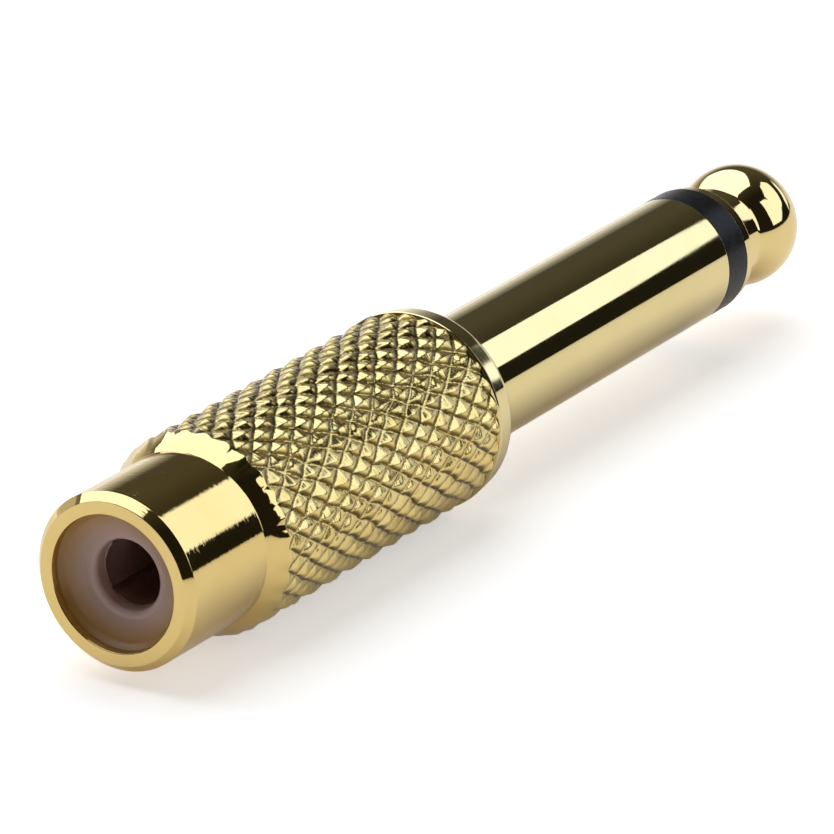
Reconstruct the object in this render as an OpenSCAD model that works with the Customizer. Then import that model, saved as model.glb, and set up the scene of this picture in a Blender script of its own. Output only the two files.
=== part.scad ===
// Straight audio adapter: an RCA socket at one end and a 6.35 mm jack plug at the other.
// It lies along X with the plug towards +X, and rests on its knurled barrel at Z = 0.
// The origin is at the middle of the length, under the axis.
// Each module below draws its piece upright, with Z running from the socket's rim to the tip.

/* [Socket end] */
// Outside diameter of the socket's ground ring
ring_d = 8.3; // [8.1:0.05:8.4]
// Bore of the socket's ground ring
ring_bore_d = 6.4; // [6.2:0.05:6.6]
// Length of the ground ring, from the rim to the shoulder cone
ring_len = 5.95; // [5:0.05:8]
// Length of the chamfer around the rim
rim_chamfer_len = 0.4; // [0.2:0.05:0.6]
// Radial width of the chamfer around the rim
rim_chamfer_w = 0.35; // [0.2:0.05:0.4]
// Diameter of the pin that the centre contact takes
pin_d = 3.2; // [3.1:0.05:3.3]
// Depth from the rim to the lip around the pin hole
lip_depth = 1.15; // [0.8:0.05:1.6]

/* [Barrel] */
// Diameter over the knurl's peaks
knurl_d = 9.64; // [9.4:0.02:10.2]
// Depth of the knurl's grooves
knurl_depth = 0.2; // [0.15:0.05:0.4]
// Number of diamonds around the barrel
knurl_count = 28; // [20:1:36]
// Length of one diamond along the barrel
knurl_pitch = 1.68; // [1.2:0.02:2.4]
// Distance from the rim to the barrel's rear face
barrel_end = 24.4; // [22:0.1:28]
// Half angle of the shoulder cone between ring and knurl
shoulder_angle = 34; // [25:1:45]

/* [Jack plug] */
// Diameter of the plug's sleeve
sleeve_d = 6.35; // [6.3:0.01:6.4]
// Length of the plug's rounded collar
collar_len = 1.6; // [1:0.1:3]
// Diameter of the collar at its rear edge
collar_rear_d = 8.42; // [7.6:0.02:9]
// Length of the sleeve from the collar to the black ring
sleeve_len = 22.2; // [20:0.1:24]
// Width of the black ring
ring_gap = 1.8; // [1.2:0.1:2.4]
// Length of the tip in front of the black ring
tip_len = 7.3; // [6.5:0.1:8]
// Largest diameter of the tip
ball_d = 6.05; // [6:0.05:6.3]
// Diameter of the rod behind the tip
rod_d = 2.3; // [2:0.1:2.6]

/* [Hidden] */
$fn = 96;

gold = "#d8b45c";
white_plastic = "#e9e4e2";
black_plastic = "#1c1c24";
clear_plastic = "#c8d0d4";

// Radii
ring_r = ring_d / 2;
ring_bore_r = ring_bore_d / 2;
knurl_r = knurl_d / 2;
sleeve_r = sleeve_d / 2;
collar_rear_r = collar_rear_d / 2;
ball_r = ball_d / 2;
rod_r = rod_d / 2;
contact_bore_r = pin_d / 2;

// Stations along the axis, from the rim
collar_end = barrel_end + collar_len;
sleeve_end = collar_end + sleeve_len;
tip_start = sleeve_end + ring_gap;
total_len = tip_start + tip_len;
seat_depth = 9.5;
bush_end = 13.5;
flange_end = 14.3;
tail_end = 16.8;
shank_start = 17.4;
rod_start = tail_end - 3;
liner_end = sleeve_end - 4;

// Walls and clearances
web_bore_r = 2.75;
rear_bore_r = 3.4;
sleeve_bore_r = 2.4;
tip_bush_r = 2.65;
contact_r = contact_bore_r + 0.45;
liner_wall = 0.5;
slip = 0.05;
seam = 0.07;
overlap = 0.5;
past = 1;

// Knurl lattice: peaks and pits alternate every half pitch along and around the barrel
knurl_cols = 2 * knurl_count;
col_step = 360 / knurl_cols;
row_step = knurl_pitch / 2;
knurl_first = ring_len - row_step;
knurl_rows = ceil((barrel_end - knurl_first) / row_step) + 2;
pit_r = knurl_r - knurl_depth;

// The barrel lies on the chord between two neighbouring rows of peaks
axis_height = knurl_r * cos(col_step / 2);

// Lays an upright piece down along X and lifts it so that the knurl touches Z = 0
module lay_down() {
    translate([-total_len / 2, 0, axis_height])
        rotate([0, 90, 0])
            children();
}

// Round bar between two stations
module bar(r, from, to) {
    translate([0, 0, from])
        cylinder(r = r, h = to - from);
}

// Cone frustum between two stations
module frustum(r_from, r_to, from, to) {
    translate([0, 0, from])
        cylinder(r1 = r_from, r2 = r_to, h = to - from);
}

// Outline points [radius, station] along an arc that is level at its first point
function level_arc(level_r, level_station, end_r, end_station, steps) =
    let (
        run = end_station - level_station,
        drop = level_r - end_r,
        arc_r = (run * run + drop * drop) / (2 * drop),
        sweep = asin(run / arc_r)
    )
    [for (step = [0:steps])
        let (angle = sweep * step / steps)
        [level_r - arc_r * (1 - cos(angle)), level_station + arc_r * sin(angle)]];

// Outline points [radius, station] on an ellipse, after its first one. The angle is 0 where the
// ellipse is farthest from the axis and grows towards the plug's end.
function bow(centre, half_w, half_len, from, to, steps) =
    [for (step = [1:steps])
        let (angle = from + (to - from) * step / steps)
        [centre[0] + half_w * cos(angle), centre[1] + half_len * sin(angle)]];

// Radius of lattice point (row, col): a peak where the two numbers add up to an even one
function lattice_r(row, col) = (row + col) % 2 == 0 ? knurl_r : pit_r;

function lattice_point(row, col) =
    let (angle = (col + 0.5) * col_step, r = lattice_r(row, col))
    [r * cos(angle), r * sin(angle), knurl_first + row * row_step];

function lattice_index(row, col) = row * knurl_cols + col % knurl_cols;

// A cell's two triangles meet along the groove, which joins its two pits
function cell_faces(row, col) =
    let (
        a = lattice_index(row, col),
        b = lattice_index(row, col + 1),
        c = lattice_index(row + 1, col + 1),
        d = lattice_index(row + 1, col)
    )
    (row + col) % 2 == 0 ? [[a, d, b], [c, b, d]] : [[a, c, b], [a, d, c]];

// Solid bar whose skin is the crossed-groove knurl
module knurled_bar() {
    last = knurl_rows - 1;
    low_centre = knurl_rows * knurl_cols;
    high_centre = low_centre + 1;
    skin_points = [for (row = [0:last]) for (col = [0:knurl_cols - 1]) lattice_point(row, col)];
    centres = [[0, 0, knurl_first], [0, 0, knurl_first + last * row_step]];
    skin = [for (row = [0:last - 1]) for (col = [0:knurl_cols - 1])
        for (face = cell_faces(row, col)) face];
    low_end = [for (col = [0:knurl_cols - 1])
        [lattice_index(0, col), lattice_index(0, col + 1), low_centre]];
    high_end = [for (col = [0:knurl_cols - 1])
        [lattice_index(last, col + 1), lattice_index(last, col), high_centre]];
    polyhedron(points = concat(skin_points, centres), faces = concat(skin, low_end, high_end));
}

// Barrel and ground ring, turned in one piece. The shoulder cone cuts the knurl's front edge.
module body_shell() {
    clear_r = knurl_r + past;
    cone_end = ring_len + (clear_r - ring_r) / tan(shoulder_angle);
    lay_down() color(gold)
        difference() {
            union() {
                frustum(ring_r - rim_chamfer_w, ring_r, 0, rim_chamfer_len);
                bar(ring_r, rim_chamfer_len, ring_len + overlap);
                intersection() {
                    knurled_bar();
                    union() {
                        frustum(ring_r, clear_r, ring_len, cone_end);
                        bar(clear_r, cone_end, barrel_end);
                    }
                }
            }
            bar(ring_bore_r, -past, seat_depth);
            bar(web_bore_r, seat_depth - overlap, shank_start + overlap);
            bar(rear_bore_r, shank_start, barrel_end + past);
        }
}

// White bush in the nose, with a dished face, a rounded lip and a bore for the contact
module socket_insulator() {
    face_depth = 0.45;
    lip_r = contact_bore_r + 0.05;
    lip_round = 0.35;
    web_end = lip_depth + 0.7;
    finger_room_r = contact_r + 0.15;
    lay_down() color(white_plastic)
        difference() {
            rotate_extrude()
                difference() {
                    polygon([
                        [lip_r, lip_depth],
                        [ring_bore_r, face_depth],
                        [ring_bore_r, seat_depth],
                        [web_bore_r, seat_depth],
                        [web_bore_r, bush_end],
                        [contact_r, bush_end],
                        [contact_r, web_end],
                        [lip_r, web_end]
                    ]);
                    difference() {
                        translate([0, face_depth])
                            square([lip_r + lip_round, lip_depth - face_depth + lip_round]);
                        translate([lip_r + lip_round, lip_depth + lip_round])
                            circle(r = lip_round, $fn = 48);
                    }
                }
            bar(finger_room_r, web_end, seat_depth);
        }
}

// Slotted tube that grips the pin, a stop flange and a tail that takes the tip's rod
module centre_contact() {
    front = lip_depth + 0.7;
    flange_r = web_bore_r - 0.2;
    pin_end = rod_start - 0.8;
    slot_w = 0.35;
    slot_len = 6.5;
    lay_down() color(gold)
        difference() {
            union() {
                bar(contact_r, front, tail_end);
                bar(flange_r, bush_end, flange_end);
            }
            bar(contact_bore_r, front - past, pin_end);
            bar(rod_r, rod_start, tail_end + past);
            for (turn = [45, 135])
                rotate([0, 0, turn])
                    translate([-contact_r - past, -slot_w / 2, front - past])
                        cube([2 * (contact_r + past), slot_w, slot_len + past]);
        }
}

// Plastic cup that keeps the contact's tail off the sleeve and centres the rod
module rear_insulator() {
    lay_down() color(white_plastic)
        difference() {
            bar(web_bore_r - slip, flange_end, shank_start);
            bar(contact_r, flange_end - past, tail_end);
            bar(rod_r, tail_end - past, shank_start + past);
        }
}

// Jack sleeve with its rounded collar and the shank that is pressed into the barrel. The collar's
// front edge is as high as the chord that the barrel lies on, so it touches Z = 0 too.
module plug_sleeve() {
    collar_front_r = axis_height;
    collar_steps = 8;
    lay_down() color(gold)
        difference() {
            union() {
                bar(rear_bore_r, shank_start, barrel_end + overlap);
                rotate_extrude()
                    polygon(concat(
                        [[0, barrel_end], [collar_front_r - seam, barrel_end]],
                        level_arc(collar_front_r, barrel_end + seam, collar_rear_r, collar_end,
                            collar_steps),
                        [[0, collar_end]]
                    ));
                bar(sleeve_r, collar_end - overlap, sleeve_end);
            }
            bar(sleeve_bore_r, shank_start - past, sleeve_end + past);
            bar(tip_bush_r, liner_end, sleeve_end + past);
        }
}

// Plastic tube between the rod and the sleeve
module sleeve_liner() {
    liner_r = sleeve_bore_r - slip;
    lay_down() color(clear_plastic)
        difference() {
            bar(liner_r, shank_start, liner_end);
            bar(liner_r - liner_wall, shank_start - past, liner_end + past);
        }
}

// Black ring seen between sleeve and tip, with the bush that it carries inside the sleeve
module tip_insulator() {
    lay_down() color(black_plastic)
        difference() {
            union() {
                bar(tip_bush_r, liner_end, sleeve_end + overlap);
                bar(sleeve_r, sleeve_end, tip_start);
            }
            bar(rod_r, liner_end - past, tip_start + past);
        }
}

// Tip, turned in one piece: collar, neck, ball and the long rod that ends in the contact's tail.
// A hollow arc joins the neck to the ball and touches both, so its centre is ball_r + neck_round
// away from the ball's. Both arcs meet where the ball has turned by that line's angle.
module plug_tip() {
    collar_r = 3.1;
    collar_rim_r = 3.06;
    neck_start = tip_start + 0.65;
    neck_cone_len = 0.75;
    neck_r = 2.4;
    neck_round = 0.5;
    nose_len = 2.85;
    ball_centre = total_len - nose_len;
    centre_gap = ball_r + neck_round;
    centre_rise = neck_r + neck_round;
    turn = acos(centre_rise / centre_gap);
    neck_end = ball_centre - centre_gap * sin(turn);
    lay_down() color(gold)
        rotate_extrude()
            polygon(concat(
                [
                    [0, rod_start],
                    [rod_r, rod_start],
                    [rod_r, tip_start],
                    [collar_r, tip_start],
                    [collar_rim_r, neck_start],
                    [neck_r, neck_start + neck_cone_len],
                    [neck_r, neck_end]
                ],
                bow([centre_rise, neck_end], -neck_round, neck_round, 0, turn, 6),
                bow([0, ball_centre], ball_r, ball_r, -turn, 0, 8),
                bow([0, ball_centre], ball_r, nose_len, 0, 90, 18)
            ));
}

body_shell();
socket_insulator();
centre_contact();
rear_insulator();
plug_sleeve();
sleeve_liner();
tip_insulator();
plug_tip();
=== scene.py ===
import math

import bpy
import bmesh
import numpy as np
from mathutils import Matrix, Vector


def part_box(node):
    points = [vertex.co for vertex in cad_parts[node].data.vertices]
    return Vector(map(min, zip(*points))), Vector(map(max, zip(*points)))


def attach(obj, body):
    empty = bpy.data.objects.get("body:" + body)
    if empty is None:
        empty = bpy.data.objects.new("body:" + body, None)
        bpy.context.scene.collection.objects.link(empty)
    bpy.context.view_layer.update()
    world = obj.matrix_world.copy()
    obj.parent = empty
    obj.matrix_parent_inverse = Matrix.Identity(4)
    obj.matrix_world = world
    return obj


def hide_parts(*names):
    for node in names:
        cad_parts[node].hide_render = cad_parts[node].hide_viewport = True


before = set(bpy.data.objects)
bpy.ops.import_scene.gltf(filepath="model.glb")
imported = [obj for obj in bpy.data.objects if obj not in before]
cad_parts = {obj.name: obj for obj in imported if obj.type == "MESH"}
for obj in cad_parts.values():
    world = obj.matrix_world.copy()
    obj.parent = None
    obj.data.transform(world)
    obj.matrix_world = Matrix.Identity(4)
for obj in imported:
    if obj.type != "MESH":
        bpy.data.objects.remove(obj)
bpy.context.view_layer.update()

# Sizes in metres, along the adapter's axis from the rim and out from the axis
MM = 0.001
RING_R = 4.15 * MM
RING_BORE_R = 3.2 * MM
RING_LEN = 5.95 * MM
RIM_CHAMFER_LEN = 0.4 * MM
RIM_CHAMFER_W = 0.35 * MM
SHOULDER_SLOPE = math.tan(math.radians(34))
SEAT_DEPTH = 9.5 * MM
SHANK_START = 17.4 * MM
WEB_BORE_R = 2.75 * MM
REAR_BORE_R = 3.4 * MM
KNURL_R = 4.82 * MM
KNURL_DEPTH = 0.2 * MM
KNURL_COUNT = 28
KNURL_ROW = 0.84 * MM
BARREL_END = 24.4 * MM
COLLAR_END = 26.0 * MM
COLLAR_FRONT_R = KNURL_R * math.cos(math.pi / (2 * KNURL_COUNT))
COLLAR_REAR_R = 4.21 * MM
SLEEVE_R = 3.175 * MM
SLEEVE_BORE_R = 2.4 * MM
TIP_BUSH_R = 2.65 * MM
BUSH_START = 44.2 * MM
SLEEVE_END = 48.2 * MM
TIP_START = 50.0 * MM
TIP_END = 57.3 * MM
BALL_R = 3.025 * MM
NOSE_LEN = 2.85 * MM
NECK_R = 2.4 * MM
NECK_ROUND = 0.5 * MM
ROD_R = 1.15 * MM
ROD_START = 13.8 * MM
CONTACT_R = 2.05 * MM
LIP_DEPTH = 1.15 * MM
LIP_R = 1.65 * MM
LIP_ROUND = 0.35 * MM
FACE_DEPTH = 0.45 * MM
BUSH_END = 13.5 * MM
PIN_HOLE_END = 1.85 * MM
TIP_COLLAR_R = 3.1 * MM
TIP_COLLAR_REAR_R = 3.06 * MM
TIP_COLLAR_LEN = 0.65 * MM
TIP_COLLAR_BASE_LEN = 1.4 * MM

# The axis runs through the middle of the barrel's box, and the rim is at its low end
BARREL_LOW, BARREL_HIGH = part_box("body_shell")
RIM_X = BARREL_LOW.x
AXIS_Z = (BARREL_LOW.z + BARREL_HIGH.z) / 2

# Points around a full turn. The knurl has 8 steps from each lattice column or row to the next.
KNURL_FINE = 8
KNURL_COLUMNS = 2 * KNURL_COUNT * KNURL_FINE
TURNED_COLUMNS = 224
# Rows of points from the shoulder to the knurl's second lattice row, and behind its last whole one
LEAD_ROWS = 11
TAIL_ROWS = 7
# Shape of the knurl's bumps: how far the tips lean right and down, in lattice steps, the rounding
# of tips and edges as shares of the way down, and how far a bump may stray, in lattice steps. Then
# the length behind the ring after which the knurl has its full depth, and the least share of that
# depth, which it has next to the ring.
LEAN = 0.08
TIP_ROUND = 0.3
EDGE_ROUND = 0.12
STRAY = 0.16
FULL_KNURL_LEN = 1.9 * MM
LEAST_DEPTH = 0.45
# Where the painted shade on the bumps' flanks begins and where it is darkest, in lattice steps from the
# tip, and the width of the change from a bump's painted shaded side to its bright one
SHADE_FROM = 0.24
SHADE_FULL = 0.38
SIDE_BLEND = 0.1
# Rows of the tables that make the bumps differ, and the steps taken to find the shoulder's edge
DICE_ROWS = 24
CUT_STEPS = 60
# Straight stretch kept beside each rounded corner, so that flat faces shade flat
CORNER_HOLD = 0.03 * MM
# The points of a pole lie closer together than this
SAME_PLACE = 1e-8


def rounded(corners, steps=4):
    """Outline through the corners (station, radius, rounding), each corner replaced by an arc.

    An arc of that rounding touches both sides of its corner. Its centre lies on the corner's
    bisector at rounding / sin(half angle), and it is cut into equal turns. One more point is
    held on each side, a little way along the straight.
    """
    table = np.array(corners, float)
    points, rounding = table[:, :2], table[:, 2:]
    back = points[:-2] - points[1:-1]
    ahead = points[2:] - points[1:-1]
    back /= np.linalg.norm(back, axis=1, keepdims=True)
    ahead /= np.linalg.norm(ahead, axis=1, keepdims=True)
    half = 0.5 * np.arccos(np.clip((back * ahead).sum(1, keepdims=True), -1, 1))
    bisector = back + ahead
    bisector /= np.linalg.norm(bisector, axis=1, keepdims=True)
    centre = points[1:-1] + bisector * rounding[1:-1] / np.sin(half)
    touch = rounding[1:-1] / np.tan(half)
    start = points[1:-1] + back * touch - centre
    side = points[1:-1] + ahead * touch - centre
    sweep = np.arctan2(start[:, :1] * side[:, 1:] - start[:, 1:] * side[:, :1],
                       (start * side).sum(1, keepdims=True))
    turn = sweep * np.linspace(0, 1, steps + 1)
    arc = np.stack([start[:, :1] * np.cos(turn) - start[:, 1:] * np.sin(turn),
                    start[:, :1] * np.sin(turn) + start[:, 1:] * np.cos(turn)], axis=2)
    arc += centre[:, None]
    held_back = points[1:-1] + back * (touch + CORNER_HOLD)
    held_ahead = points[1:-1] + ahead * (touch + CORNER_HOLD)
    inner = np.concatenate([held_back[:, None], arc, held_ahead[:, None]], axis=1).reshape(-1, 2)
    return np.concatenate([points[:1], inner, points[-1:]])


def bow(station, radius, half_len, half_w, turn):
    """Points on an ellipse about (station, radius), one for each angle.

    Station is centre + half length x sin(angle), radius is centre + half width x cos(angle).
    """
    return np.stack([station + half_len * np.sin(turn), radius + half_w * np.cos(turn)], axis=1)


def around(stations, radii):
    """Points at those stations and radii, turned about the adapter's axis.

    Both arrays have one row for each ring of points and one column for each angle. The angle
    is 0 straight down and grows towards +Y: y = r sin(angle), z = axis - r cos(angle).
    """
    angle = np.arange(radii.shape[1]) * 2 * np.pi / radii.shape[1]
    return np.stack([RIM_X + stations, radii * np.sin(angle), AXIS_Z - radii * np.cos(angle)], axis=2)


def lathe_rows(outline, columns):
    """The outline's stations and radii, repeated for each angle."""
    return [np.repeat(outline[:, side:side + 1], columns, axis=1) for side in (0, 1)]


def lattice_map(mesh, stations):
    """Map for the knurl: across, one unit for each lattice column; along, one for each row.

    Each quad takes its corners' columns as j, j + 1, j + 1, j, so the map runs on past the seam.
    """
    row = (stations - RING_LEN) / KNURL_ROW
    after = np.roll(row, -1, axis=0)
    along = np.stack([row, np.roll(row, -1, axis=1), np.roll(after, -1, axis=1), after], axis=2)
    left = np.arange(stations.shape[1])[None, :, None]
    across = (left + np.array([0, 1, 1, 0])) / KNURL_FINE
    both = np.stack([np.broadcast_to(across, along.shape), along], axis=3)
    layer = mesh.uv_layers.new(name="lattice")
    layer.uv.foreach_set("vector", both.astype(np.float32).ravel())


def skin(name, points, materials, second_from=None, second_to=None, loop=True):
    """Closed mesh over a grid of points, a quad between each four neighbours.

    Columns close around the axis. Rows close too if loop is true, and otherwise the first and
    last row are poles. Rows from second_from to second_to take the second material.
    """
    rows, columns = points.shape[:2]
    index = np.arange(rows * columns).reshape(rows, columns)
    low = index if loop else index[:-1]
    high = np.roll(index, -1, axis=0) if loop else index[1:]
    quads = np.stack([low, np.roll(low, -1, axis=1), np.roll(high, -1, axis=1), high], axis=2)
    quads = quads.reshape(-1, 4)
    mesh = bpy.data.meshes.new(name)
    mesh.vertices.add(rows * columns)
    mesh.vertices.foreach_set("co", points.astype(np.float32).ravel())
    mesh.loops.add(quads.size)
    mesh.loops.foreach_set("vertex_index", quads.astype(np.int32).ravel())
    mesh.polygons.add(len(quads))
    mesh.polygons.foreach_set("loop_start", np.arange(0, quads.size, 4, dtype=np.int32))
    if second_from is not None:
        row = np.arange(len(quads)) // columns
        use = ((row >= second_from) & (row < second_to)).astype(np.int32)
        mesh.polygons.foreach_set("material_index", use)
    mesh.update(calc_edges=True)
    if not loop:
        weld = bmesh.new()
        weld.from_mesh(mesh)
        bmesh.ops.remove_doubles(weld, verts=weld.verts, dist=SAME_PLACE)
        weld.to_mesh(mesh)
        weld.free()
    mesh.polygons.foreach_set("use_smooth", np.ones(len(mesh.polygons), dtype=bool))
    for material in materials:
        mesh.materials.append(material)
    piece = bpy.data.objects.new(name, mesh)
    bpy.context.scene.collection.objects.link(piece)
    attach(piece, "root")
    return piece


def turned(name, outline, material, loop=True):
    """Piece turned about the axis from one outline."""
    return skin(name, around(*lathe_rows(outline, TURNED_COLUMNS)), [material], loop=loop)


# Materials

# Range in which most of a noise's values lie
NOISE_RANGE = (0.3, 0.7)


def new_material(name):
    """Material with its nodes, its links and its main shader."""
    material = bpy.data.materials.new(name)
    material.use_nodes = True
    nodes = material.node_tree.nodes
    return material, nodes, material.node_tree.links, nodes["Principled BSDF"]


def object_noise(nodes, links, scale, detail=3.0, roughness=0.5):
    """Noise on Object coordinates, with its own scale along each axis in waves per metre."""
    place = nodes.new("ShaderNodeTexCoord")
    stretch = nodes.new("ShaderNodeMapping")
    stretch.inputs["Scale"].default_value = scale
    noise = nodes.new("ShaderNodeTexNoise")
    noise.inputs["Scale"].default_value = 1.0
    noise.inputs["Detail"].default_value = detail
    noise.inputs["Roughness"].default_value = roughness
    links.new(place.outputs["Object"], stretch.inputs["Vector"])
    links.new(stretch.outputs["Vector"], noise.inputs["Vector"])
    return noise


def ramp(nodes, links, source, low, high):
    """Colour or grey between two values, driven by a noise."""
    shade = nodes.new("ShaderNodeValToRGB")
    for stop, place, colour in zip(shade.color_ramp.elements, NOISE_RANGE, (low, high)):
        stop.position = place
        stop.color = colour
    links.new(source.outputs["Fac"], shade.inputs["Fac"])
    return shade


def grey(level):
    """Colour with that level of red, green and blue."""
    return (level, level, level, 1.0)


def bump(nodes, links, source, height, below=None):
    """Surface relief of that height in metres, on top of an earlier relief if one is given."""
    relief = nodes.new("ShaderNodeBump")
    relief.inputs["Strength"].default_value = 1.0
    relief.inputs["Distance"].default_value = height
    links.new(source.outputs["Fac"], relief.inputs["Height"])
    if below is not None:
        links.new(below.outputs["Normal"], relief.inputs["Normal"])
    return relief


def gold_plate(name, pale, deep, roughness, marks, mark_height, pit_height):
    """Gold plating over turned brass: fine marks around the axis, faint pits and a little haze."""
    material, nodes, links, shader = new_material(name)
    shader.inputs["Metallic"].default_value = 1.0
    cloud = object_noise(nodes, links, (260, 260, 260), detail=4)
    tint = ramp(nodes, links, cloud, deep, pale)
    links.new(tint.outputs["Color"], shader.inputs["Base Color"])
    haze = object_noise(nodes, links, (1500, 500, 500), detail=5, roughness=0.6)
    sheen = ramp(nodes, links, haze, grey(roughness * 0.75), grey(roughness * 1.35))
    links.new(sheen.outputs["Color"], shader.inputs["Roughness"])
    lines = object_noise(nodes, links, marks, detail=2, roughness=0.6)
    pits = object_noise(nodes, links, (9000, 9000, 9000), detail=2)
    first = bump(nodes, links, lines, mark_height)
    second = bump(nodes, links, pits, pit_height, below=first)
    links.new(second.outputs["Normal"], shader.inputs["Normal"])
    return material


def knurled_gold(name, pale, deep, flank_shade_colour, roughness, mark_height, grain_height):
    """Gold plating over the knurl: marks around the barrel, a fine grain and painted shade on the bumps'
    flanks.

    The marks draw highlights out along the axis, so the gloss is drawn out that way too. The
    mesh's own flank_shade attribute says where shade is painted into the plating's colour.
    """
    material, nodes, links, shader = new_material(name)
    shader.inputs["Metallic"].default_value = 1.0
    shader.inputs["Anisotropic"].default_value = 0.7
    shader.inputs["Anisotropic Rotation"].default_value = 0.25
    tangent = nodes.new("ShaderNodeTangent")
    tangent.direction_type = "UV_MAP"
    tangent.uv_map = "lattice"
    links.new(tangent.outputs["Tangent"], shader.inputs["Tangent"])
    cloud = object_noise(nodes, links, (700, 700, 700), detail=4)
    tint = ramp(nodes, links, cloud, deep, pale)
    flank_shade = nodes.new("ShaderNodeAttribute")
    flank_shade.attribute_name = "flank_shade"
    # Painted shade: a dark brown is mixed into the plating's colour where the flank_shade attribute says
    flank_shade_mix = nodes.new("ShaderNodeMix")
    flank_shade_mix.data_type = "RGBA"
    flank_shade_mix.inputs["B"].default_value = flank_shade_colour
    links.new(flank_shade.outputs["Fac"], flank_shade_mix.inputs["Factor"])
    links.new(tint.outputs["Color"], flank_shade_mix.inputs["A"])
    links.new(flank_shade_mix.outputs["Result"], shader.inputs["Base Color"])
    haze = object_noise(nodes, links, (2600, 2600, 2600), detail=4, roughness=0.6)
    sheen = ramp(nodes, links, haze, grey(roughness * 0.7), grey(roughness * 1.4))
    links.new(sheen.outputs["Color"], shader.inputs["Roughness"])
    marks = object_noise(nodes, links, (2800, 320, 320), detail=3, roughness=0.6)
    grain = object_noise(nodes, links, (5000, 5000, 5000), detail=4)
    relief = bump(nodes, links, marks, mark_height)
    top = bump(nodes, links, grain, grain_height, below=relief)
    links.new(top.outputs["Normal"], shader.inputs["Normal"])
    return material


def plastic_finish(nodes, links, shader, roughness, grain_height, milky):
    """Faint haze and fine grain of moulded plastic, and light scattered inside it if it is milky."""
    haze = object_noise(nodes, links, (2500, 2500, 2500), detail=4)
    sheen = ramp(nodes, links, haze, grey(roughness * 0.85), grey(roughness * 1.15))
    links.new(sheen.outputs["Color"], shader.inputs["Roughness"])
    if milky:
        shader.inputs["Subsurface Weight"].default_value = 0.35
        shader.inputs["Subsurface Radius"].default_value = (0.9 * MM, 0.6 * MM, 0.5 * MM)
        shader.inputs["Subsurface Scale"].default_value = 1.0
    grain = object_noise(nodes, links, (7000, 7000, 7000), detail=3)
    relief = bump(nodes, links, grain, grain_height)
    links.new(relief.outputs["Normal"], shader.inputs["Normal"])


def moulded_plastic(name, pale, deep, roughness, grain_height, gloss=0.5, milky=False):
    """Moulded plastic: even colour with a faint cloud, and a fine grain."""
    material, nodes, links, shader = new_material(name)
    shader.inputs["Specular IOR Level"].default_value = gloss
    cloud = object_noise(nodes, links, (400, 400, 400), detail=3)
    tint = ramp(nodes, links, cloud, deep, pale)
    links.new(tint.outputs["Color"], shader.inputs["Base Color"])
    plastic_finish(nodes, links, shader, roughness, grain_height, milky)
    return material


def bush_plastic_painted_reflection(name, middle, edge, roughness, grain_height):
    """Moulded plastic that turns from its own colour at the pin hole to a gold brown at the rim, a
    painted reflection of the gold bore.
    """
    material, nodes, links, shader = new_material(name)
    place = nodes.new("ShaderNodeTexCoord")
    centre = nodes.new("ShaderNodeMapping")
    centre.inputs["Location"].default_value = (0, 0, -AXIS_Z / RING_BORE_R)
    centre.inputs["Scale"].default_value = (0, 1 / RING_BORE_R, 1 / RING_BORE_R)
    out = nodes.new("ShaderNodeVectorMath")
    out.operation = "LENGTH"
    # Painted reflection of the gold bore: the colour turns to the edge colour towards the ring's bore
    shade = nodes.new("ShaderNodeValToRGB")
    shade.color_ramp.interpolation = "EASE"
    shade.color_ramp.elements[0].position = 0.5
    shade.color_ramp.elements[1].position = 1.0
    shade.color_ramp.elements[0].color = middle
    shade.color_ramp.elements[1].color = edge
    links.new(place.outputs["Object"], centre.inputs["Vector"])
    links.new(centre.outputs["Vector"], out.inputs[0])
    links.new(out.outputs["Value"], shade.inputs["Fac"])
    links.new(shade.outputs["Color"], shader.inputs["Base Color"])
    plastic_finish(nodes, links, shader, roughness, grain_height, milky=True)
    return material


RING_GOLD = gold_plate(
    "ring_gold", pale=(0.78, 0.58, 0.23, 1), deep=(0.74, 0.54, 0.20, 1), roughness=0.05,
    marks=(6500, 900, 900), mark_height=0.0055 * MM, pit_height=0.0001 * MM)
# The knurl's flank_shade_colour is the dark brown of its painted shade on the flanks that face right and
# down
KNURL_GOLD = knurled_gold(
    "knurl_gold", pale=(0.84, 0.66, 0.27, 1), deep=(0.74, 0.55, 0.18, 1), flank_shade_colour=(0.12, 0.075, 0.01, 1),
    roughness=0.17, mark_height=0.06 * MM, grain_height=0.004 * MM)
SLEEVE_GOLD = gold_plate(
    "sleeve_gold", pale=(0.78, 0.64, 0.31, 1), deep=(0.75, 0.61, 0.29, 1), roughness=0.045,
    marks=(9000, 300, 300), mark_height=0.0002 * MM, pit_height=0.0001 * MM)
TIP_GOLD = gold_plate(
    "tip_gold", pale=(0.80, 0.62, 0.28, 1), deep=(0.77, 0.59, 0.26, 1), roughness=0.05,
    marks=(7000, 300, 300), mark_height=0.0002 * MM, pit_height=0.0001 * MM)
CONTACT_BRASS = gold_plate(
    "contact_brass", pale=(0.62, 0.42, 0.36, 1), deep=(0.56, 0.37, 0.32, 1), roughness=0.6,
    marks=(4000, 400, 400), mark_height=0.002 * MM, pit_height=0.001 * MM)
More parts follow.
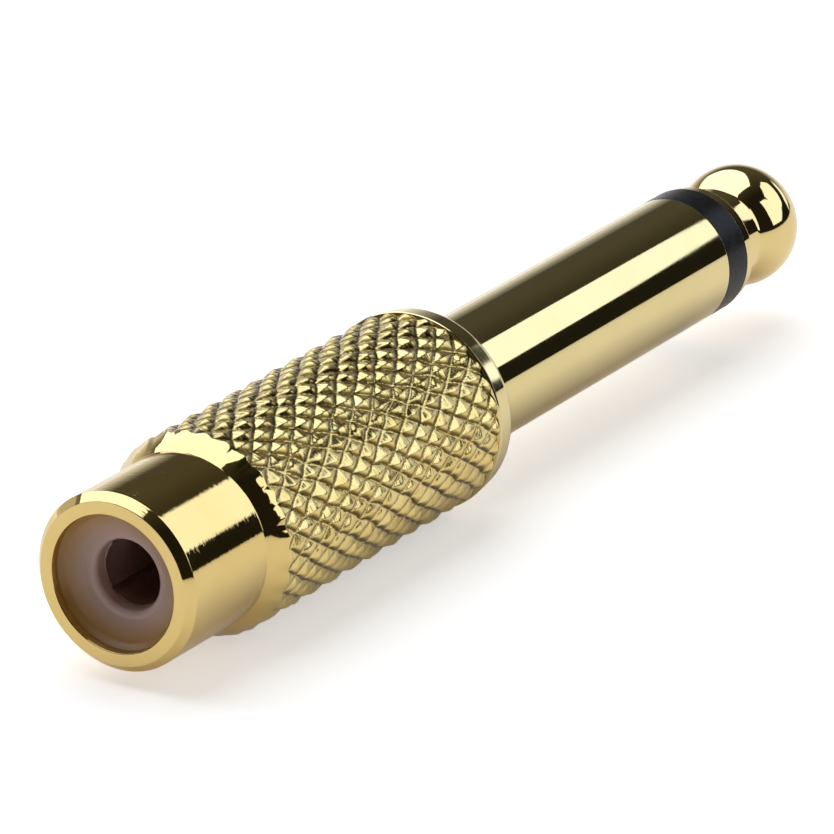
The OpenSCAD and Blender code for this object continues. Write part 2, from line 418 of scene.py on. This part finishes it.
# The bush's edge colour is a painted reflection of the gold bore
BUSH_PLASTIC_PAINTED_REFLECTION = bush_plastic_painted_reflection(
    "bush_plastic_painted_reflection", middle=(0.61, 0.43, 0.38, 1), edge=(0.46, 0.24, 0.06, 1), roughness=0.34,
    grain_height=0.0002 * MM)
WHITE_PLASTIC = moulded_plastic(
    "white_plastic", pale=(0.60, 0.53, 0.54, 1), deep=(0.56, 0.49, 0.50, 1), roughness=0.42,
    grain_height=0.0008 * MM, milky=True)
BLACK_PLASTIC = moulded_plastic(
    "black_plastic", pale=(0.013, 0.011, 0.010, 1), deep=(0.009, 0.008, 0.007, 1), roughness=0.28,
    grain_height=0.0006 * MM, gloss=0.16)
CLEAR_PLASTIC = moulded_plastic(
    "clear_plastic", pale=(0.78, 0.80, 0.80, 1), deep=(0.72, 0.74, 0.74, 1), roughness=0.4,
    grain_height=0.001 * MM)


# Barrel

# For each row and column of the lattice: a bump's share of the full height, and how far the
# knurl strays there along and around the barrel
DICE = np.random.default_rng(5)
BUMP_SHARE = DICE.uniform(0.82, 1.0, (DICE_ROWS, 2 * KNURL_COUNT))
STRAY_ALONG = DICE.uniform(-STRAY, STRAY, (DICE_ROWS, 2 * KNURL_COUNT))
STRAY_AROUND = DICE.uniform(-STRAY, STRAY, (DICE_ROWS, 2 * KNURL_COUNT))


def between(table, row, column):
    """Values between a table's entries: a smoothstep blend of the four neighbours, both ways wrapped."""
    low_row, low_column = np.floor(row), np.floor(column)
    along, across = row - low_row, column - low_column
    along, across = along * along * (3 - 2 * along), across * across * (3 - 2 * across)
    low_row, low_column = low_row.astype(int) % table.shape[0], low_column.astype(int) % table.shape[1]
    high_row, high_column = (low_row + 1) % table.shape[0], (low_column + 1) % table.shape[1]
    near = table[low_row, low_column] * (1 - across) + table[low_row, high_column] * across
    far = table[high_row, low_column] * (1 - across) + table[high_row, high_column] * across
    return near * (1 - along) + far * along


def knurl_lattice(station, angle):
    """Place within the bump, from -0.5 to 0.5 across both families of grooves, and its number.

    Row and column stray a little first. The grooves then run where half their sum, or half their
    difference, lies midway between two whole numbers.
    """
    row = (station - RING_LEN + KNURL_ROW) / KNURL_ROW
    column = angle * KNURL_COUNT / np.pi - 0.5
    row, column = row + between(STRAY_ALONG, row, column), column + between(STRAY_AROUND, row, column)
    one, other = (row + column) / 2, (column - row) / 2
    near_one, near_other = np.round(one), np.round(other)
    return one - near_one, other - near_other, near_one - near_other, near_one + near_other


def way_down(place):
    """Share of the way from a leaning tip to the groove on either side of it."""
    return np.where(place > LEAN, (place - LEAN) / (0.5 - LEAN), (LEAN - place) / (0.5 + LEAN))


def knurl_radius(station, angle):
    """Radius of the crossed-groove knurl.

    Two families of helical grooves leave four-sided pyramids. The way down is the larger of the
    two ways to a groove, with the corner between them rounded over EDGE_ROUND. Near the tip it
    is replaced by the root of its square plus TIP_ROUND squared. Each bump has its own share of
    the full height, and the grooves get deeper from the ring on.
    """
    one, other, bump_row, bump_column = knurl_lattice(station, angle)
    one, other = way_down(one), way_down(other)
    spread = np.sqrt((one - other) ** 2 + EDGE_ROUND ** 2) - EDGE_ROUND
    down = 0.5 * (one + other + spread)
    down = (np.sqrt(down ** 2 + TIP_ROUND ** 2) - TIP_ROUND) / (math.sqrt(1 + TIP_ROUND ** 2) - TIP_ROUND)
    share = BUMP_SHARE[bump_row.astype(int) % DICE_ROWS, bump_column.astype(int) % (2 * KNURL_COUNT)]
    depth = KNURL_DEPTH * np.clip((station - RING_LEN) / FULL_KNURL_LEN, LEAST_DEPTH, 1)
    return COLLAR_FRONT_R - depth + depth * share * (1 - np.minimum(down, 1))


def knurl_flank_shade(station, angle):
    """Painted shade on the knurl: 1 low on the two flanks that face right and down, 0 elsewhere."""
    one, other = knurl_lattice(station, angle)[:2]
    low = np.clip((np.maximum(one, other) - SHADE_FROM) / (SHADE_FULL - SHADE_FROM), 0, 1)
    side = np.clip(0.5 + (np.maximum(one, other) - np.maximum(-one, -other)) / SIDE_BLEND, 0, 1)
    return low * side


def shoulder_cut(angle):
    """Station at which the shoulder cone meets the knurl, at each angle.

    Starting at the ring's end, the station is moved half way to the cone again and again, for
    the knurl's radius there, until it stops moving.
    """
    station = np.full_like(angle, RING_LEN)
    for _ in range(CUT_STEPS):
        station = (station + RING_LEN + (knurl_radius(station, angle) - RING_R) / SHOULDER_SLOPE) / 2
    return station


def make_barrel():
    """Ground ring, shoulder cone and knurl in one skin, closed through the stepped bore."""
    angle = np.arange(KNURL_COLUMNS) * 2 * np.pi / KNURL_COLUMNS
    # The nose's outline runs from a point in the ring's bore to one on the straight shoulder
    bore_point = 2.0 * MM
    shoulder_point = 0.25 * MM
    end_break = 0.05 * MM
    nose = rounded([
        (bore_point, RING_BORE_R, 0),
        (0, RING_BORE_R, 0.05 * MM),
        (0, RING_R - RIM_CHAMFER_W, 0.03 * MM),
        (RIM_CHAMFER_LEN, RING_R, 0.04 * MM),
        (RING_LEN, RING_R, 0.10 * MM),
        (RING_LEN + shoulder_point, RING_R + shoulder_point * SHOULDER_SLOPE, 0),
    ], steps=3)
    nose_rows = lathe_rows(nose, KNURL_COLUMNS)
    cut = shoulder_cut(angle)
    first_row = RING_LEN + 2 * KNURL_ROW
    lead = cut + (first_row - cut) * np.linspace(0, 1, LEAD_ROWS)[:, None]
    whole = np.arange(1, int((BARREL_END - first_row) / KNURL_ROW) * KNURL_FINE + 1)
    body = np.repeat((first_row + whole * KNURL_ROW / KNURL_FINE)[:, None], KNURL_COLUMNS, axis=1)
    tail = body[-1] + (BARREL_END - end_break - body[-1]) * np.linspace(0, 1, TAIL_ROWS + 1)[1:, None]
    stations = np.concatenate([lead, body, tail])
    radii = knurl_radius(stations, angle)
    edge = [np.full((1, KNURL_COLUMNS), BARREL_END), radii[-1:] - end_break]
    inside = lathe_rows(np.array([
        (BARREL_END, REAR_BORE_R),
        (SHANK_START, REAR_BORE_R),
        (SHANK_START, WEB_BORE_R),
        (SEAT_DEPTH, WEB_BORE_R),
        (SEAT_DEPTH, RING_BORE_R),
    ]), KNURL_COLUMNS)
    all_stations = np.concatenate([nose_rows[0], stations, edge[0], inside[0]])
    all_radii = np.concatenate([nose_rows[1], radii, edge[1], inside[1]])
    knurl_from = len(nose)
    knurl_to = knurl_from + len(stations)
    barrel = skin("barrel", around(all_stations, all_radii), [RING_GOLD, KNURL_GOLD],
                  second_from=knurl_from, second_to=knurl_to)
    lattice_map(barrel.data, all_stations)
    # Painted shade, low on the bumps' flanks that face right and down, kept for the knurl's material
    flank_shade = np.zeros_like(all_stations)
    flank_shade[knurl_from:knurl_to] = knurl_flank_shade(stations, angle)
    layer = barrel.data.attributes.new("flank_shade", "FLOAT", "POINT")
    layer.data.foreach_set("value", flank_shade.astype(np.float32).ravel())
    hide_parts("body_shell")


# Bush, sleeve, black ring and tip

def make_socket_bush():
    """White bush: dished face that runs up the ring's bore, and a rounded lip around the pin hole.

    Beside the lip the dish has 0.3 of its mean slope. Its edge is steeper and ends at the bore.
    """
    slope = 0.3 * (LIP_DEPTH - FACE_DEPTH) / (RING_BORE_R - LIP_R)
    edge_up, edge_down, edge_w = 0.04 * MM, 0.25 * MM, 0.28 * MM
    pocket_r = CONTACT_R + 0.15 * MM
    outline = rounded([
        (SEAT_DEPTH, (WEB_BORE_R + RING_BORE_R) / 2, 0),
        (SEAT_DEPTH, RING_BORE_R, 0.05 * MM),
        (FACE_DEPTH - edge_up, RING_BORE_R, 0.01 * MM),
        (FACE_DEPTH + edge_down, RING_BORE_R - edge_w, 0.4 * MM),
        (LIP_DEPTH - slope * LIP_ROUND, LIP_R + LIP_ROUND, 0.5 * MM),
        (LIP_DEPTH, LIP_R, 0.24 * MM),
        (PIN_HOLE_END, LIP_R, 0.03 * MM),
        (PIN_HOLE_END, pocket_r, 0.05 * MM),
        (SEAT_DEPTH, pocket_r, 0.03 * MM),
        (SEAT_DEPTH, CONTACT_R, 0.03 * MM),
        (BUSH_END, CONTACT_R, 0.03 * MM),
        (BUSH_END, WEB_BORE_R, 0.05 * MM),
        (SEAT_DEPTH, WEB_BORE_R, 0.0),
    ], steps=6)[1:]
    bush = turned("socket_bush", outline, BUSH_PLASTIC_PAINTED_REFLECTION)
    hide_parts("socket_insulator")


def make_sleeve():
    """Jack sleeve: shank, collar with its rounded back, and the long plain tube.

    A small bevel at the collar's front shows the seam between barrel and sleeve.
    """
    seam = 0.07 * MM
    back_len, back_fall, rear_fall = 0.38 * MM, 0.16 * MM, 0.04 * MM
    front = np.array([
        (SHANK_START, SLEEVE_BORE_R),
        (SHANK_START, REAR_BORE_R),
        (BARREL_END, REAR_BORE_R),
    ])
    rest = rounded([
        (BARREL_END, COLLAR_FRONT_R - seam, 0),
        (BARREL_END + seam, COLLAR_FRONT_R, 0.03 * MM),
        (COLLAR_END - back_len, COLLAR_FRONT_R - back_fall, 0.5 * MM),
        (COLLAR_END, COLLAR_REAR_R - rear_fall, 0.08 * MM),
        (COLLAR_END, SLEEVE_R, 0.06 * MM),
        (SLEEVE_END, SLEEVE_R, 0.04 * MM),
        (SLEEVE_END, TIP_BUSH_R, 0.03 * MM),
        (BUSH_START, TIP_BUSH_R, 0.03 * MM),
        (BUSH_START, SLEEVE_BORE_R, 0.03 * MM),
        (SHANK_START, SLEEVE_BORE_R, 0),
    ], steps=6)
    sleeve = turned("jack_sleeve", np.concatenate([front, rest[:-1]]), SLEEVE_GOLD)
    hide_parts("plug_sleeve")


def make_black_ring():
    """Black ring between sleeve and tip, with its bush inside the sleeve."""
    outline = rounded([
        (BUSH_START, (ROD_R + TIP_BUSH_R) / 2, 0),
        (BUSH_START, TIP_BUSH_R, 0.05 * MM),
        (SLEEVE_END, TIP_BUSH_R, 0.02 * MM),
        (SLEEVE_END, SLEEVE_R, 0.03 * MM),
        (TIP_START, SLEEVE_R, 0.06 * MM),
        (TIP_START, ROD_R, 0.02 * MM),
        (BUSH_START, ROD_R, 0.02 * MM),
        (BUSH_START, (ROD_R + TIP_BUSH_R) / 2, 0),
    ], steps=4)[:-1]
    ring = turned("black_ring", outline, BLACK_PLASTIC)
    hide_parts("tip_insulator")


def make_tip():
    """Tip: rod, thin collar, neck and ball.

    The neck's floor ends in a hollow arc that touches the ball. Seen from the ball's centre, the
    point where they touch lies back from straight out by the angle whose cosine is
    (neck radius + rounding) / (ball radius + rounding). The nose is a quarter ellipse.
    """
    centre = TIP_END - NOSE_LEN
    rise, gap = NECK_R + NECK_ROUND, BALL_R + NECK_ROUND
    touch = math.acos(rise / gap)
    neck_end = centre - gap * math.sin(touch)
    collar = rounded([
        (ROD_START, 0, 0),
        (ROD_START, ROD_R, 0.1 * MM),
        (TIP_START, ROD_R, 0.02 * MM),
        (TIP_START, TIP_COLLAR_R, 0.06 * MM),
        (TIP_START + TIP_COLLAR_LEN, TIP_COLLAR_REAR_R, 0.10 * MM),
        (TIP_START + TIP_COLLAR_BASE_LEN, NECK_R, 0.10 * MM),
        (neck_end, NECK_R, 0),
    ], steps=5)
    hollow_points, back_points, nose_points = 11, 25, 57
    hollow = bow(neck_end, rise, NECK_ROUND, -NECK_ROUND, np.linspace(0, touch, hollow_points))
    back = bow(centre, 0, BALL_R, BALL_R, np.linspace(-touch, 0, back_points))
    nose = bow(centre, 0, NOSE_LEN, BALL_R, np.linspace(0, np.pi / 2, nose_points))
    nose[-1, 1] = 0
    outline = np.concatenate([collar[:-1], hollow, back[1:], nose[1:]])
    tip = turned("ball_tip", outline, TIP_GOLD, loop=False)
    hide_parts("plug_tip")


def dress_hidden_nodes():
    """Materials for the pieces that keep their own solids."""
    for node, material in (("centre_contact", CONTACT_BRASS), ("rear_insulator", WHITE_PLASTIC),
                           ("sleeve_liner", CLEAR_PLASTIC)):
        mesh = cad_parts[node].data
        mesh.materials.clear()
        mesh.materials.append(material)


# Stage

# Places and lengths are in metres from the middle of the adapter's resting place
FLOOR_HALF = 2.0
FLOOR_PALE = (0.91, 0.83, 0.70, 1)
FLOOR_DEEP = (0.90, 0.82, 0.69, 1)
# Strength of the floor's glow for the camera and for mirroring surfaces. The second fades towards the
# adapter, a painted shade for the floor in the adapter's shadow: beyond FADE_FAR all of it is there, and
# nearer than
# FADE_NEAR only FADE_SHARE of it. Distances along X are squeezed first, because the adapter is long that
# way.
FLOOR_SEEN = 0.50
FLOOR_MIRRORED = 0.24
FADE_NEAR = 0.001
FADE_FAR = 0.014
FADE_SHARE = 0.12
FADE_SQUEEZE = 0.35
# Backdrop seen from above: x of its left end, y of the straight run, x at which the quarter circle
# starts, that circle's radius, and y of the right end. Then the number of flat strips in the quarter
# circle, the backdrop's height, and its grey levels at heights above the floor.
BACKDROP_LEFT = -0.36
BACKDROP_FAR = 1.4
BACKDROP_BEND = 1.1
BACKDROP_R = 0.8
BACKDROP_RIGHT_END = -0.35
BACKDROP_STEPS = 16
BACKDROP_TOP = 0.70
BACKDROP_GREYS = ((0, 0.80), (0.10, 0.76), (0.24, 0.62), (0.40, 0.36), (0.56, 0.20), (BACKDROP_TOP, 0.06))
# Corners of the overhead softbox as x, y at a fixed height, of the rear one and the small card as
# y, z at a fixed x, and of the side card and the low reflector as x, z at a fixed y
OVERHEAD_Z = 0.6
OVERHEAD_CORNERS = ((-0.33, 1.3), (0.97, 1.3), (0.93, 0.79), (0.76, 0.456), (0.60, 0.21), (0.43, 0.06),
                    (0.24, -0.10), (-0.33, -0.05))
REAR_X = 0.9
REAR_CORNERS = ((-0.158, 0.62), (-0.158, 0.9), (-0.45, 1.3), (-1.2, 1.6), (-1.4, 1.1), (-1.2, 0.15),
                (-0.75, 0.35), (-0.72, 0.33), (-0.555, 0.34))
CARD_CORNERS = ((0.02, 0.33), (-0.10, 0.36), (-0.34, 0.20), (-0.36, 0.02), (-0.22, 0.10))
SIDE_Y = -1.1
SIDE_CORNERS = ((0.28, 0.12), (0.82, 0.12), (0.86, 1.0), (0.62, 1.30), (0.24, 1.30), (0.22, 0.50))
LOW_Y = 1.38
LOW_CORNERS = ((-0.36, 0), (0.30, 0), (0.30, 0.50), (-0.36, 0.50))
COOL_LIGHT = (0.74, 0.82, 1.0, 1)
OVERHEAD_STRENGTH = 2.5
CARD_STRENGTH = 1.9
LOW_STRENGTH = 0.62
# The room's glow. Its strength grows with a direction's Y, from the right of the plug to its left.
ROOM_COLOUR = (1, 0.95, 0.72, 1)
ROOM_RIGHT_Y = -0.45
ROOM_RIGHT = 0.015
ROOM_LEFT_Y = 0.25
ROOM_LEFT = 0.085
# The camera's place, the direction in which it looks, and its lens in millimetres
CAMERA_PLACE = (-0.264823, -0.164305, 0.124748)
CAMERA_LOOK = (0.788385, 0.496319, -0.363479)
CAMERA_LENS = 309.9


def stage_piece(name, corners, faces, material):
    """Piece of the studio, which isn't part of the adapter."""
    mesh = bpy.data.meshes.new(name)
    mesh.from_pydata(corners, [], faces)
    mesh.materials.append(material)
    piece = bpy.data.objects.new(name, mesh)
    bpy.context.scene.collection.objects.link(piece)
    return piece


def seen_glow(nodes, links, to_camera, to_metal):
    """Glow with one strength for the camera and another for mirroring surfaces.

    The mirrored glow fades by a smoothstep towards the adapter, where the real floor lies in its
    shade.
    """
    path = nodes.new("ShaderNodeLightPath")
    mirrored = nodes.new("ShaderNodeMath")
    mirrored.operation = "ADD"
    links.new(path.outputs["Is Glossy Ray"], mirrored.inputs[0])
    links.new(path.outputs["Is Transmission Ray"], mirrored.inputs[1])
    place = nodes.new("ShaderNodeTexCoord")
    squeeze = nodes.new("ShaderNodeMapping")
    squeeze.inputs["Scale"].default_value = (FADE_SQUEEZE, 1, 1)
    away = nodes.new("ShaderNodeVectorMath")
    away.operation = "LENGTH"
    fade = nodes.new("ShaderNodeMapRange")
    fade.interpolation_type = "SMOOTHSTEP"
    fade.inputs["From Min"].default_value = FADE_NEAR
    fade.inputs["From Max"].default_value = FADE_FAR
    fade.inputs["To Min"].default_value = FADE_SHARE * to_metal
    fade.inputs["To Max"].default_value = to_metal
    links.new(place.outputs["Object"], squeeze.inputs["Vector"])
    links.new(squeeze.outputs["Vector"], away.inputs[0])
    links.new(away.outputs["Value"], fade.inputs["Value"])
    share = nodes.new("ShaderNodeMath")
    share.operation = "MULTIPLY"
    links.new(mirrored.outputs["Value"], share.inputs[0])
    links.new(fade.outputs["Result"], share.inputs[1])
    total = nodes.new("ShaderNodeMath")
    total.operation = "MULTIPLY_ADD"
    total.inputs[1].default_value = to_camera
    links.new(path.outputs["Is Camera Ray"], total.inputs[0])
    links.new(share.outputs["Value"], total.inputs[2])
    glow = nodes.new("ShaderNodeEmission")
    links.new(total.outputs["Value"], glow.inputs["Strength"])
    return glow


def make_floor():
    """Pale matt floor with a glow that only the camera and mirroring surfaces see."""
    material, nodes, links, shader = new_material("pale_floor")
    cloud = object_noise(nodes, links, (3, 3, 3), detail=2)
    tint = ramp(nodes, links, cloud, FLOOR_DEEP, FLOOR_PALE)
    links.new(tint.outputs["Color"], shader.inputs["Base Color"])
    shader.inputs["Roughness"].default_value = 1.0
    shader.inputs["Specular IOR Level"].default_value = 0.0
    glow = seen_glow(nodes, links, FLOOR_SEEN, FLOOR_MIRRORED)
    both = nodes.new("ShaderNodeAddShader")
    links.new(shader.outputs["BSDF"], both.inputs[0])
    links.new(glow.outputs["Emission"], both.inputs[1])
    links.new(both.outputs["Shader"], nodes["Material Output"].inputs["Surface"])
    material.cycles.emission_sampling = "NONE"
    corners = [(FLOOR_HALF * x, FLOOR_HALF * y, 0) for x, y in ((-1, -1), (1, -1), (1, 1), (-1, 1))]
    stage_piece("floor", corners, [(0, 1, 2, 3)], material)


def make_backdrop():
    """Curved backdrop behind the plug: pale at the floor and dark higher up.

    Seen from above it is a straight run, a quarter circle towards the right and a straight end.
    """
    material, nodes, links, _ = new_material("graduated_backdrop")
    place = nodes.new("ShaderNodeTexCoord")
    split = nodes.new("ShaderNodeSeparateXYZ")
    fall = nodes.new("ShaderNodeMapRange")
    fall.inputs["From Min"].default_value = 0.0
    fall.inputs["From Max"].default_value = BACKDROP_TOP
    shade = nodes.new("ShaderNodeValToRGB")
    stops = shade.color_ramp.elements
    stops[0].color = grey(BACKDROP_GREYS[0][1])
    stops[1].color = grey(BACKDROP_GREYS[-1][1])
    for height, level in BACKDROP_GREYS[1:-1]:
        stops.new(height / BACKDROP_TOP).color = grey(level)
    links.new(place.outputs["Object"], split.inputs["Vector"])
    links.new(split.outputs["Z"], fall.inputs["Value"])
    links.new(fall.outputs["Result"], shade.inputs["Fac"])
    glow = nodes.new("ShaderNodeEmission")
    links.new(shade.outputs["Color"], glow.inputs["Color"])
    links.new(glow.outputs["Emission"], nodes["Material Output"].inputs["Surface"])
    material.cycles.emission_sampling = "NONE"
    turn = np.linspace(0, np.pi / 2, BACKDROP_STEPS + 1)
    bend_x = BACKDROP_BEND + BACKDROP_R * np.sin(turn)
    bend_y = BACKDROP_FAR - BACKDROP_R * (1 - np.cos(turn))
    across = np.concatenate([[BACKDROP_LEFT], bend_x, bend_x[-1:]])
    back = np.concatenate([bend_y[:1], bend_y, [BACKDROP_RIGHT_END]])
    low = np.stack([across, back, np.zeros(len(across))], axis=1)
    high = low + (0, 0, BACKDROP_TOP)
    first = np.arange(len(across) - 1)
    faces = np.stack([first, first + 1, first + 1 + len(across), first + len(across)], axis=1)
    stage_piece("backdrop", np.concatenate([low, high]).tolist(), faces.tolist(), material)


def make_softbox(name, corners, strength, colour):
    """Lit panel with those corners, hidden from the camera."""
    material, nodes, links, _ = new_material(name + "_panel")
    glow = nodes.new("ShaderNodeEmission")
    glow.inputs["Color"].default_value = colour
    glow.inputs["Strength"].default_value = strength
    links.new(glow.outputs["Emission"], nodes["Material Output"].inputs["Surface"])
    panel = stage_piece(name, corners, [tuple(range(len(corners)))], material)
    panel.visible_camera = False


def make_lamps():
    """Overhead softbox, rear one with a small card, side card on the right, low reflector."""
    overhead = [(x, y, OVERHEAD_Z) for x, y in OVERHEAD_CORNERS]
    make_softbox("overhead_softbox", overhead, OVERHEAD_STRENGTH, COOL_LIGHT)
    rear = [(REAR_X, y, z) for y, z in REAR_CORNERS]
    make_softbox("rear_softbox", rear, CARD_STRENGTH, COOL_LIGHT)
    card = [(REAR_X, y, z) for y, z in CARD_CORNERS]
    make_softbox("small_card", card, CARD_STRENGTH, COOL_LIGHT)
    side = [(x, SIDE_Y, z) for x, z in SIDE_CORNERS]
    make_softbox("side_card", side, CARD_STRENGTH, COOL_LIGHT)
    low = [(x, LOW_Y, z) for x, z in LOW_CORNERS]
    make_softbox("low_reflector", low, LOW_STRENGTH, grey(1.0))


def make_world():
    """Dark, warm room, darker to the right of the plug than above it and to its left."""
    world = bpy.data.worlds.new("dark_studio")
    world.use_nodes = True
    nodes, links = world.node_tree.nodes, world.node_tree.links
    place = nodes.new("ShaderNodeTexCoord")
    split = nodes.new("ShaderNodeSeparateXYZ")
    side = nodes.new("ShaderNodeMapRange")
    side.inputs["From Min"].default_value = ROOM_RIGHT_Y
    side.inputs["From Max"].default_value = ROOM_LEFT_Y
    side.inputs["To Min"].default_value = ROOM_RIGHT
    side.inputs["To Max"].default_value = ROOM_LEFT
    links.new(place.outputs["Generated"], split.inputs["Vector"])
    links.new(split.outputs["Y"], side.inputs["Value"])
    links.new(side.outputs["Result"], nodes["Background"].inputs["Strength"])
    nodes["Background"].inputs["Color"].default_value = ROOM_COLOUR
    bpy.context.scene.world = world


def make_camera():
    """Long lens, level, at the photograph's viewing angle: 21.3 degrees down, 32.2 degrees round."""
    data = bpy.data.cameras.new("camera")
    data.sensor_width = 36.0
    data.lens = CAMERA_LENS
    data.clip_start, data.clip_end = 0.02, 10.0
    camera = bpy.data.objects.new("camera", data)
    camera.location = CAMERA_PLACE
    camera.rotation_mode = "QUATERNION"
    camera.rotation_quaternion = Vector(CAMERA_LOOK).to_track_quat("-Z", "Y")
    bpy.context.scene.collection.objects.link(camera)
    bpy.context.scene.camera = camera


make_camera()
make_barrel()
make_socket_bush()
make_sleeve()
make_black_ring()
make_tip()
dress_hidden_nodes()
make_floor()
make_backdrop()
make_lamps()
make_world()
bpy.context.scene.view_settings.view_transform = "Standard"
